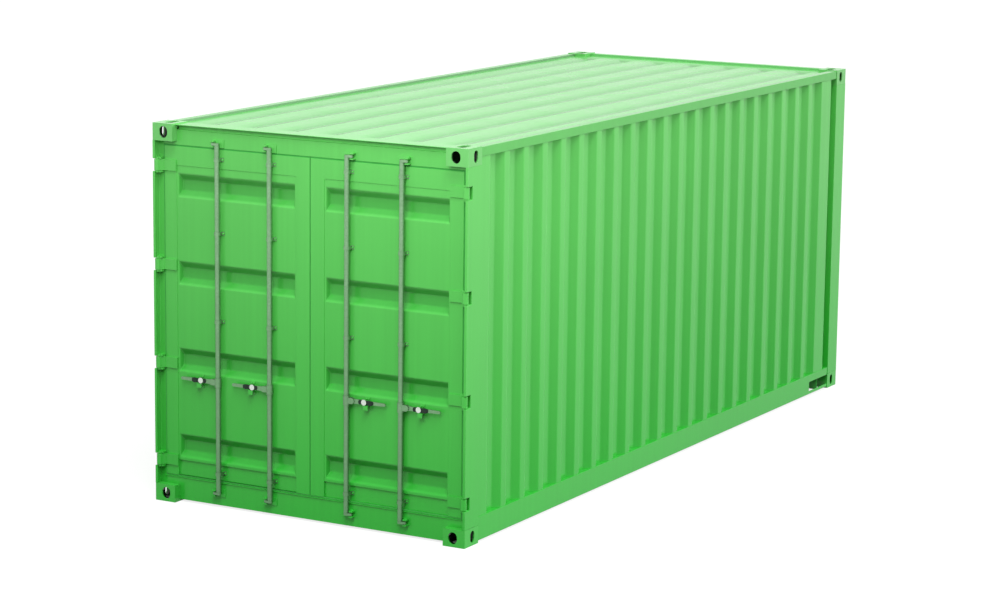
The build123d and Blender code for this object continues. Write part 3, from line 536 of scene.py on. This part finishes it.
# Hot blackened steel of the catches: blue black with a dull shine
black_steel = plain_steel("black_oxide_steel", "#14201A", "#26362C", 0.6, 0.4, 14)
# Nickel plated rivets: pale and shining
bright_nickel = plain_steel("nickel_plated_steel", "#C2CCC2", "#DCE4DB", 0.85, 0.2, 8)
MATERIALS = {
    "green_paint": green_enamel,
    "casting_paint": casting_enamel,
    "galvanised_steel": zinc,
    "seal_rubber": rubber,
    "floor_board": plywood,
}


# Modelling

# Points closer than this are one point, and faces turned by less than this are one flat face
MERGE_MM = 0.01
FLAT_DEG = 0.5
# The least turn of a sheet that is a fold, of an edge that is rounded, and of one that shows
SMALLEST_FOLD_DEG = 12
SHARP_EDGE_DEG = 32
SMOOTH_DEG = 42
# A face looks along an axis where its normal reaches further than this along it
FACING = 0.9


def pick(*pieces):
    """Selects those pieces alone; the first is active."""
    bpy.ops.object.select_all(action="DESELECT")
    for piece in pieces:
        piece.select_set(True)
    bpy.context.view_layer.objects.active = pieces[0]


def edit(piece):
    """Opens a piece in edit mode with everything selected."""
    pick(piece)
    bpy.ops.object.mode_set(mode="EDIT")
    bpy.ops.mesh.select_all(action="SELECT")


def close_edit():
    """Goes back to object mode."""
    bpy.ops.object.mode_set(mode="OBJECT")


def select_edges(piece, wanted):
    """In edit mode, selects the edges that wanted(edge) is true for."""
    bpy.ops.mesh.select_mode(type="EDGE")
    bpy.ops.mesh.select_all(action="DESELECT")
    mesh = bmesh.from_edit_mesh(piece.data)
    for edge in mesh.edges:
        if wanted(edge):
            edge.select_set(True)
    bmesh.update_edit_mesh(piece.data)


def select_faces(piece, wanted):
    """In edit mode, selects the faces that wanted(face) is true for."""
    bpy.ops.mesh.select_mode(type="FACE")
    bpy.ops.mesh.select_all(action="DESELECT")
    mesh = bmesh.from_edit_mesh(piece.data)
    for face in mesh.faces:
        if wanted(face):
            face.select_set(True)
    bmesh.update_edit_mesh(piece.data)


def apply_modifier(piece, kind, **settings):
    """Adds a modifier with those settings and applies it."""
    modifier = piece.modifiers.new(kind.lower(), kind)
    for key, value in settings.items():
        setattr(modifier, key, value)
    pick(piece)
    bpy.ops.object.modifier_apply(modifier=modifier.name)


def cad_copy(name):
    """A copy of a CAD node as one clean mesh: triangles merged, flat faces made whole."""
    piece = bpy.data.objects.new(f"{name}.finished", nodes[name].data.copy())
    bpy.context.scene.collection.objects.link(piece)
    piece.data.materials.clear()
    edit(piece)
    bpy.ops.mesh.customdata_custom_splitnormals_clear()
    bpy.ops.mesh.remove_doubles(threshold=MERGE_MM * MM)
    bpy.ops.mesh.dissolve_limited(angle_limit=math.radians(FLAT_DEG))
    close_edit()
    return piece


def round_folds(piece, offset_mm, sharpest_deg):
    """Rounds a sheet's fold lines and leaves its cut edges square."""
    smallest, sharpest = math.radians(SMALLEST_FOLD_DEG), math.radians(sharpest_deg)
    edit(piece)
    select_edges(
        piece,
        lambda edge: len(edge.link_faces) == 2 and smallest < edge.calc_face_angle(0) < sharpest,
    )
    bpy.ops.mesh.bevel(offset=offset_mm * MM, segments=3, affect="EDGES", clamp_overlap=True)
    close_edit()


def soften(piece, width_mm, segments=2):
    """Rounds every sharp edge by that width."""
    apply_modifier(
        piece, "BEVEL", width=width_mm * MM, segments=segments, limit_method="ANGLE",
        angle_limit=math.radians(SHARP_EDGE_DEG), use_clamp_overlap=True,
    )


def smooth(piece):
    """Smooth shading that keeps large flat faces flat."""
    pick(piece)
    bpy.ops.object.shade_smooth_by_angle(angle=math.radians(SMOOTH_DEG))
    apply_modifier(piece, "WEIGHTED_NORMAL", keep_sharp=True, weight=50)


def place_piece(piece, body, material, replaced=()):
    """Gives a finished piece its paint and its body, and hides the nodes that it stands for."""
    piece.data.materials.clear()
    piece.data.materials.append(material)
    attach(piece, body)
    if replaced:
        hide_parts(*replaced)


def finish_node(piece, name, material=None):
    """Finishes a piece that stands for that node, in its slot's paint or the one given."""
    smooth(piece)
    slot = slot_of[name]
    place_piece(piece, body_of[name], material or MATERIALS[slot], [name])


def loose_boxes(name):
    """The box of each separate solid of a CAD node, as (low corner, high corner)."""
    mesh = bmesh.new()
    mesh.from_mesh(nodes[name].data)
    bmesh.ops.remove_doubles(mesh, verts=mesh.verts, dist=MERGE_MM * MM)
    seen = set()
    boxes = []
    for start in mesh.verts:
        if start in seen:
            continue
        seen.add(start)
        group = [start]
        for vert in group:
            for edge in vert.link_edges:
                other = edge.other_vert(vert)
                if other not in seen:
                    seen.add(other)
                    group.append(other)
        boxes.append((
            Vector([min(v.co[axis] for v in group) for axis in range(3)]),
            Vector([max(v.co[axis] for v in group) for axis in range(3)]),
        ))
    mesh.free()
    return sorted(boxes, key=lambda box: tuple(round(c, 4) for c in (*box[0], *box[1])))


def join(pieces, name):
    """Joins the pieces into the first one."""
    pick(*pieces)
    if len(pieces) > 1:
        bpy.ops.object.join()
    pieces[0].name = name
    return pieces[0]


def copies(source, places, name):
    """One piece made of a copy of the source at each place. The source is removed."""
    made = []
    for place in places:
        copy = bpy.data.objects.new(name, source.data.copy())
        bpy.context.scene.collection.objects.link(copy)
        copy.data.transform(Matrix.Translation(place))
        made.append(copy)
    bpy.data.objects.remove(source)
    return join(made, name)


def settle(piece):
    """Puts a piece's place, turn and scale into its mesh."""
    pick(piece)
    bpy.ops.object.transform_apply(location=True, rotation=True, scale=True)


def raise_front(piece, rim_mm, rise_mm):
    """Raises a piece's front, within a sloping rim."""
    edit(piece)
    select_faces(piece, lambda face: face.normal.y < -FACING)
    bpy.ops.mesh.inset(thickness=rim_mm * MM)
    bpy.ops.transform.translate(value=(0, -rise_mm * MM, 0))
    close_edit()


# Walls, roof and door panels: folded and pressed sheet, by how round and how sharp its folds are.
# What is sharper is a cut edge and stays square
FOLD_MM = 8
PRESSING_MM = 6
SHALLOW_DEG = 60
STEEP_DEG = 80
SHEETS = [
    ("side_wall_left", FOLD_MM, SHALLOW_DEG, None),
    ("door_panel_left", PRESSING_MM, STEEP_DEG, door_enamel),
    ("side_wall_right", FOLD_MM, SHALLOW_DEG, None),
    ("door_panel_right", PRESSING_MM, STEEP_DEG, door_enamel),
    ("front_wall", FOLD_MM, STEEP_DEG, None),
    ("roof_panel", PRESSING_MM, SHALLOW_DEG, roof_enamel),
]
for name, round_mm, sharpest_deg, finish in SHEETS:
    sheet = cad_copy(name)
    round_folds(sheet, round_mm, sharpest_deg)
    finish_node(sheet, name, finish)

# A groove folded into the door header under its drip lip, which keeps rain off the doors
HEADER_LIP_MM = 26
HEADER_WALL_MM = 4
GROOVE_BELOW_TOP_MM = 13
GROOVE_HEIGHT_MM = 24
GROOVE_DEPTH_MM = 20


def fold_groove(header):
    """Pushes a strip of the header's front wall inwards, its outer and its inner skin."""
    low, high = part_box("door_header")
    top = high.z - GROOVE_BELOW_TOP_MM * MM
    bottom = top - GROOVE_HEIGHT_MM * MM
    face_y = low.y + HEADER_LIP_MM * MM
    wall = HEADER_WALL_MM * MM
    skins = ((-1, face_y, bottom, top), (1, face_y + wall, bottom - wall, top + wall))
    edit(header)
    for level in (bottom - wall, bottom, top, top + wall):
        bpy.ops.mesh.select_all(action="SELECT")
        bpy.ops.mesh.bisect(plane_co=(0, 0, level), plane_no=(0, 0, 1))
    for facing, skin_y, strip_bottom, strip_top in skins:
        select_faces(
            header,
            lambda face: face.normal.y * facing > FACING
            and abs(face.calc_center_median().y - skin_y) < MM
            and strip_bottom < face.calc_center_median().z < strip_top,
        )
        bpy.ops.mesh.extrude_region_move(
            TRANSFORM_OT_translate={"value": (0, GROOVE_DEPTH_MM * MM, 0)},
        )
    close_edit()


BEAM_FINISHES = {"top_side_rail": rail_enamel, "front_top_beam": beam_enamel}
# Cast, rolled, folded and forged pieces, by how round their edges are in millimetres
EDGE_MM = {
    "corner_casting": 5,
    "door_post": 3,
    "front_post": 2.5,
    "door_header": 1.5,
    "door_sill": 1.5,
    "front_top_beam": 1.8,
    "front_bottom_beam": 1.8,
    "top_side_rail": 5,
    "bottom_side_rail": 1.8,
    "floor_bearers": 1.5,
    "hinge_lugs": 1.5,
    "hinge_blades": 1.8,
    "cam_keepers": 1.5,
    "door_frame": 2,
    "rod_brackets": 1.2,
    "handle_retainers": 1.2,
    "lock_rod": 2,
    "rod_fittings": 1.5,
    "lock_handle": 3,
}
for name in sorted(nodes):
    for kind, edge_mm in EDGE_MM.items():
        if name.startswith(kind):
            piece = cad_copy(name)
            if kind == "door_header":
                fold_groove(piece)
            soften(piece, edge_mm)
            finish_node(piece, name, BEAM_FINISHES.get(kind))

# Door gaskets: the rubber ring with a groove run round it, which leaves two lips
GASKET_RIM_MM = 7
GASKET_GROOVE_MM = 3
for side in SIDES:
    name = f"door_gasket_{side}"
    low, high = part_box(name)
    ring = cad_copy(name)
    edit(ring)
    rims = [(axis, corner[axis]) for axis in (0, 2) for corner in (low, high)]
    select_faces(
        ring,
        lambda face: abs(face.normal.y) < 0.5
        and any(abs(face.calc_center_median()[axis] - rim) < MM for axis, rim in rims),
    )
    bpy.ops.mesh.inset(thickness=GASKET_RIM_MM * MM, use_boundary=True, use_even_offset=True)
    bpy.ops.transform.shrink_fatten(value=-GASKET_GROOVE_MM * MM)
    close_edit()
    soften(ring, 1)
    finish_node(ring, name)

# The gaskets' front lips: thin rubber blades that bear on the posts, the header and the sill, and
# on each other between the leaves
LIP_GAP_MM = 1
LIP_WIDTH_MM = 10
LIP_THICKNESS_MM = 3
LIP_SETBACK_MM = -3
header_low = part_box("door_header")[0].z
sill_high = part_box("door_sill")[1].z
for side, x_side in SIDES.items():
    post_low, post_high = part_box(f"door_post_{side}")
    post_face = post_low.x if x_side > 0 else post_high.x
    gasket_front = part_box(f"door_gasket_{side}")[0].y
    edges_x = sorted((x_side * LIP_GAP_MM * MM, post_face - x_side * LIP_GAP_MM * MM))
    edges_z = (sill_high + LIP_GAP_MM * MM, header_low - LIP_GAP_MM * MM)
    bpy.ops.mesh.primitive_plane_add(
        size=1, rotation=(math.pi / 2, 0, 0),
        location=(sum(edges_x) / 2, gasket_front + LIP_SETBACK_MM * MM, sum(edges_z) / 2),
    )
    lips = bpy.context.object
    lips.name = f"door_seal_lips_{side}"
    lips.scale = (edges_x[1] - edges_x[0], edges_z[1] - edges_z[0], 1)
    settle(lips)
    edit(lips)
    bpy.ops.mesh.inset(thickness=LIP_WIDTH_MM * MM)
    bpy.ops.mesh.delete(type="FACE")
    bpy.ops.mesh.select_all(action="SELECT")
    bpy.ops.mesh.extrude_region_move(
        TRANSFORM_OT_translate={"value": (0, LIP_THICKNESS_MM * MM, 0)},
    )
    bpy.ops.mesh.select_all(action="SELECT")
    bpy.ops.mesh.normals_make_consistent(inside=False)
    close_edit()
    soften(lips, 0.8, 1)
    smooth(lips)
    place_piece(lips, f"door_{side}", rubber)

# Floor: boards with open joints, and rows of countersunk screws over the bearers
BOARDS_ACROSS = 2
BOARDS_ALONG = 5
JOINT_MM = 4
JOINT_DEPTH_MM = 5
low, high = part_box("floor")
floor = cad_copy("floor")
edit(floor)
cuts = []
for axis, boards, normal in ((0, BOARDS_ACROSS, (1, 0, 0)), (1, BOARDS_ALONG, (0, 1, 0))):
    for index in range(1, boards):
        cuts.append((low[axis] + (high[axis] - low[axis]) * index / boards, normal))
for place, normal in cuts:
    for half in (-JOINT_MM / 2, JOINT_MM / 2):
        bpy.ops.mesh.select_all(action="SELECT")
        spot = [part * (place + half * MM) for part in normal]
        bpy.ops.mesh.bisect(plane_co=spot, plane_no=normal)


def in_joint(face):
    """True for a face of the floor's top that lies in a joint between boards."""
    centre = face.calc_center_median()
    if face.normal.z < FACING:
        return False
    return any(
        abs(centre.dot(Vector(normal)) - place) < JOINT_MM * MM / 2 for place, normal in cuts
    )


select_faces(floor, in_joint)
bpy.ops.mesh.extrude_region_move(TRANSFORM_OT_translate={"value": (0, 0, -JOINT_DEPTH_MM * MM)})
close_edit()
soften(floor, 1, 1)
finish_node(floor, "floor")

SCREW_RADIUS_MM = 7
SCREW_HEAD_MM = 4
SCREW_PROUD_MM = 0.4
SCREW_RIM_MM = 4.2
SCREW_SOCKET_MM = 1.6
SCREWS_IN_ROW = 10
bpy.ops.mesh.primitive_cylinder_add(
    vertices=12, radius=SCREW_RADIUS_MM * MM, depth=SCREW_HEAD_MM * MM,
)
screw = bpy.context.object
edit(screw)
select_faces(screw, lambda face: face.normal.z > FACING)
bpy.ops.mesh.inset(thickness=SCREW_RIM_MM * MM)
bpy.ops.transform.translate(value=(0, 0, -SCREW_SOCKET_MM * MM))
close_edit()
settle(screw)
screw_z = high.z - (SCREW_HEAD_MM / 2 - SCREW_PROUD_MM) * MM
screw_places = []
for bearer_low, bearer_high in loose_boxes("floor_bearers"):
    row_y = (bearer_low.y + bearer_high.y) / 2
    for index in range(SCREWS_IN_ROW):
        share = (index + 0.5) / SCREWS_IN_ROW
        screw_places.append((low.x + (high.x - low.x) * share, row_y, screw_z))
screws = copies(screw, screw_places, "floor_screws")
smooth(screws)
place_piece(screws, "shell", screw_zinc)


# Bolts of the rod brackets and the handle retainers
BOLT_ACROSS_MM = 10
BOLT_HEAD_MM = 5
BOLT_CROWN_MM = (1.6, 1.2)
WASHER_MM = 15
WASHER_THICK_MM = 2.5


def hex_bolt():
    """A hex bolt head on its washer, its underside at the origin, facing -Y."""
    washer_thick = WASHER_THICK_MM * MM
    bpy.ops.mesh.primitive_cylinder_add(
        vertices=24, radius=WASHER_MM / 2 * MM, depth=washer_thick,
        location=(0, -washer_thick / 2, 0), rotation=(math.pi / 2, 0, 0),
    )
    washer = bpy.context.object
    settle(washer)
    soften(washer, 0.6, 1)
    bpy.ops.mesh.primitive_cylinder_add(
        vertices=6, radius=BOLT_ACROSS_MM / 2 / math.cos(math.pi / 6) * MM,
        depth=BOLT_HEAD_MM * MM, location=(0, -washer_thick - BOLT_HEAD_MM / 2 * MM, 0),
        rotation=(math.pi / 2, 0, 0),
    )
    head = bpy.context.object
    settle(head)
    raise_front(head, *BOLT_CROWN_MM)
    return join([head, washer], "hex_bolt")


BRACKET_EDGE_MM = 8.3
BRACKET_STRAP_MM = 4
RETAINER_EDGE_MM = 10
RETAINER_TOP_MM = 12
RETAINER_PLATE_MM = 5
for side in SIDES:
    bolt_places = []
    for low, high in loose_boxes(f"rod_brackets_{side}"):
        for bolt_x in (low.x + BRACKET_EDGE_MM * MM, high.x - BRACKET_EDGE_MM * MM):
            bolt_places.append((bolt_x, high.y - BRACKET_STRAP_MM * MM, (low.z + high.z) / 2))
    for low, high in loose_boxes(f"handle_retainers_{side}"):
        bolt_y = high.y - RETAINER_PLATE_MM * MM
        for bolt_x in (low.x + RETAINER_EDGE_MM * MM, high.x - RETAINER_EDGE_MM * MM):
            bolt_places.append((bolt_x, bolt_y, high.z - RETAINER_TOP_MM * MM))
    bolts = copies(hex_bolt(), bolt_places, f"door_bolts_{side}")
    smooth(bolts)
    place_piece(bolts, f"door_{side}", green_enamel)


# Catches on the handles: a narrow blackened plate with a bright domed rivet, a black turning boss
# outside it and a small black rivet towards the rod
CATCH_PLATE_MM = (96, 210)
CATCH_HEIGHT_MM = 30
CATCH_THICK_MM = 3
CATCH_CORNER_MM = 12
CATCH_RIM_MM = (2.5, 1.2)
# Each dome's widest ring is that far out from the plate's middle layer, and its back that far
# behind the ring
DOME_BASE_MM = 2
DOME_SINK_MM = 0.5
# Name, distance from the rod, radius, rise and finish of each dome
CATCH_DOMES = (
    ("rivet", 138, 20, 6, bright_nickel),
    ("boss", 186, 18, 7, black_steel),
    ("stud", 104, 8, 4, black_steel),
)


def domed_disc(name, radius_mm, rise_mm, middle):
    """A flat based dome facing -Y: a sphere flattened, cut just behind its ring and closed."""
    bpy.ops.mesh.primitive_uv_sphere_add(
        segments=28, ring_count=12, radius=radius_mm * MM, location=middle,
    )
    disc = bpy.context.object
    disc.scale = (1, rise_mm / radius_mm, 1)
    settle(disc)
    disc.name = name
    edit(disc)
    bpy.ops.mesh.bisect(
        plane_co=Vector(middle) + Vector((0, DOME_SINK_MM * MM, 0)), plane_no=(0, -1, 0),
        clear_inner=True, use_fill=True,
    )
    close_edit()
    smooth(disc)
    return disc


for side, x_side in SIDES.items():
    for place in PLACES:
        rod_low, rod_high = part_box(f"lock_rod_{side}_{place}")
        low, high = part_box(f"lock_handle_{side}_{place}")
        rod_x = (rod_low.x + rod_high.x) / 2
        handle_z = (low.z + high.z) / 2
        plate_y = low.y - CATCH_THICK_MM / 2 * MM
        plate_middle = sum(CATCH_PLATE_MM) / 2
        body = f"handle_{side}_{place}"
        bpy.ops.mesh.primitive_cube_add(
            size=1, location=(rod_x + x_side * plate_middle * MM, plate_y, handle_z),
        )
        catch = bpy.context.object
        catch.scale = (
            (CATCH_PLATE_MM[1] - CATCH_PLATE_MM[0]) * MM, CATCH_THICK_MM * MM,
            CATCH_HEIGHT_MM * MM,
        )
        settle(catch)
        edit(catch)
        select_edges(
            catch,
            lambda edge: abs((edge.verts[0].co - edge.verts[1].co).normalized().y) > FACING,
        )
        bpy.ops.mesh.bevel(offset=CATCH_CORNER_MM * MM, segments=5, affect="EDGES")
        close_edit()
        raise_front(catch, *CATCH_RIM_MM)
        catch.name = f"handle_catch_{side}_{place}"
        smooth(catch)
        place_piece(catch, body, black_steel)
        for kind, reach_mm, radius_mm, rise_mm, finish in CATCH_DOMES:
            dome = domed_disc(
                f"handle_{kind}_{side}_{place}", radius_mm, rise_mm,
                (rod_x + x_side * reach_mm * MM, plate_y - DOME_BASE_MM * MM, handle_z),
            )
            place_piece(dome, body, finish)


# Floor and light of the picture

def seen_directly(tree):
    """1 for rays from the camera and in reflections and glass, 0 for scattered light."""
    path = node(tree, "ShaderNodeLightPath")
    total = path.outputs["Is Camera Ray"]
    for output in ("Is Glossy Ray", "Is Transmission Ray"):
        either = node(
            tree, "ShaderNodeMath", {"operation": "MAXIMUM"}, {0: total, 1: path.outputs[output]},
        )
        total = either.outputs["Value"]
    return total


SKY_LIGHT = 0.43
world = bpy.data.worlds.new("white_room")
bpy.context.scene.world = world
world.use_nodes = True
world_tree = world.node_tree
world_tree.nodes.clear()
room = node(
    world_tree, "ShaderNodeMapRange", {"To Min": SKY_LIGHT, "To Max": 1.0},
    {"Value": seen_directly(world_tree)},
)
room_light = node(
    world_tree, "ShaderNodeBackground", {"Color": (1, 1, 1, 1)},
    {"Strength": room.outputs["Result"]},
)
node(world_tree, "ShaderNodeOutputWorld", links={"Surface": room_light.outputs["Background"]})

# A dull ground for scattered light. Seen directly it is white, most of it its own glow, so that
# the container's shadow on it stays faint
GROUND_BOUNCE = 0.1
GROUND_GLOW = 0.8
ground_material = bpy.data.materials.new("white_ground")
ground_material.use_nodes = True
ground_tree = ground_material.node_tree
ground_tree.nodes.clear()
direct = seen_directly(ground_tree)
ground_colour = node(
    ground_tree, "ShaderNodeMix",
    {"data_type": "RGBA", 6: (GROUND_BOUNCE, GROUND_BOUNCE, GROUND_BOUNCE, 1), 7: (1, 1, 1, 1)},
    {0: direct},
)
ground_diffuse = node(
    ground_tree, "ShaderNodeBsdfDiffuse", {}, {"Color": ground_colour.outputs[2]},
)
ground_glow = node(ground_tree, "ShaderNodeEmission", {"Color": (1, 1, 1, 1), "Strength": 1})
glow_share = node(
    ground_tree, "ShaderNodeMath", {"operation": "MULTIPLY", 1: GROUND_GLOW}, {0: direct},
)
ground_shader = node(
    ground_tree, "ShaderNodeMixShader", {},
    {
        0: glow_share.outputs["Value"],
        1: ground_diffuse.outputs["BSDF"],
        2: ground_glow.outputs["Emission"],
    },
)
node(
    ground_tree, "ShaderNodeOutputMaterial", {}, {"Surface": ground_shader.outputs["Shader"]},
)
GROUND_RADIUS = 150
GROUND_BELOW_MM = 0.5
bpy.ops.mesh.primitive_circle_add(vertices=64, radius=GROUND_RADIUS, fill_type="NGON")
ground = bpy.context.object
ground.name = "ground"
ground.location.z = -GROUND_BELOW_MM * MM
settle(ground)
ground.data.materials.append(ground_material)


def add_lamp(name, kind, towards):
    """A lamp of that kind, unseen in reflections, that shines from that direction."""
    lamp = bpy.data.lights.new(name, kind)
    lamp_object = bpy.data.objects.new(name, lamp)
    bpy.context.scene.collection.objects.link(lamp_object)
    lamp_object.rotation_euler = Vector(towards).to_track_quat("Z", "Y").to_euler()
    lamp_object.visible_glossy = False
    return lamp, lamp_object


def soft_light(name, towards, level, spread_deg):
    """A broad even light from that direction. Level 1 shows a facing colour as it is written."""
    lamp, _ = add_lamp(name, "SUN", towards)
    lamp.energy = level * math.pi
    lamp.angle = math.radians(spread_deg)


def panel_light(name, place, target, level, size):
    """A square light panel at that place, turned to the target and of that level there."""
    away = Vector(place) - Vector(target)
    lamp, lamp_object = add_lamp(name, "AREA", away)
    lamp.shape = "SQUARE"
    lamp.size = size
    lamp.energy = level * math.pi * math.pi * away.length_squared
    lamp_object.location = place


soft_light("key_light", (0.3, -0.35, 0.89), 0.63, 30)
soft_light("side_light", (0.7, 0.68, 0.22), 1.08, 60)
soft_light("door_light", (-0.5, -0.86, 0), 0.33, 60)
soft_light("left_light", (-0.95, 0.25, 0.15), 0.55, 60)
panel_light("door_panel", (1.4, -6.8, 4.2), (0, -3, 1.3), 0.52, 2)
panel_light("side_panel", (6, -3.6, 3.3), (1.2, -2.6, 1.3), 0.17, 2)

# The camera stands where the photograph's would, once its sideways squeeze is taken out
CAMERA_PLACE = (10.398, -18.924, 4.983)
CAMERA_TURN_DEG = 29.348
CAMERA_DOWN_DEG = 10.348
CAMERA_LEAN_DEG = 0.683
camera_data = bpy.data.cameras.new("camera")
camera_data.lens = 106.06
camera_data.sensor_width = 36
camera_data.clip_end = 400
camera = bpy.data.objects.new("camera", camera_data)
bpy.context.scene.collection.objects.link(camera)
camera.location = CAMERA_PLACE
turn = Matrix.Rotation(math.radians(CAMERA_TURN_DEG), 4, "Z")
tilt = Matrix.Rotation(math.radians(90 - CAMERA_DOWN_DEG), 4, "X")
lean = Matrix.Rotation(math.radians(CAMERA_LEAN_DEG), 4, "Z")
camera.rotation_euler = (turn @ tilt @ lean).to_euler()
bpy.context.scene.camera = camera
bpy.context.scene.view_settings.view_transform = "Standard"
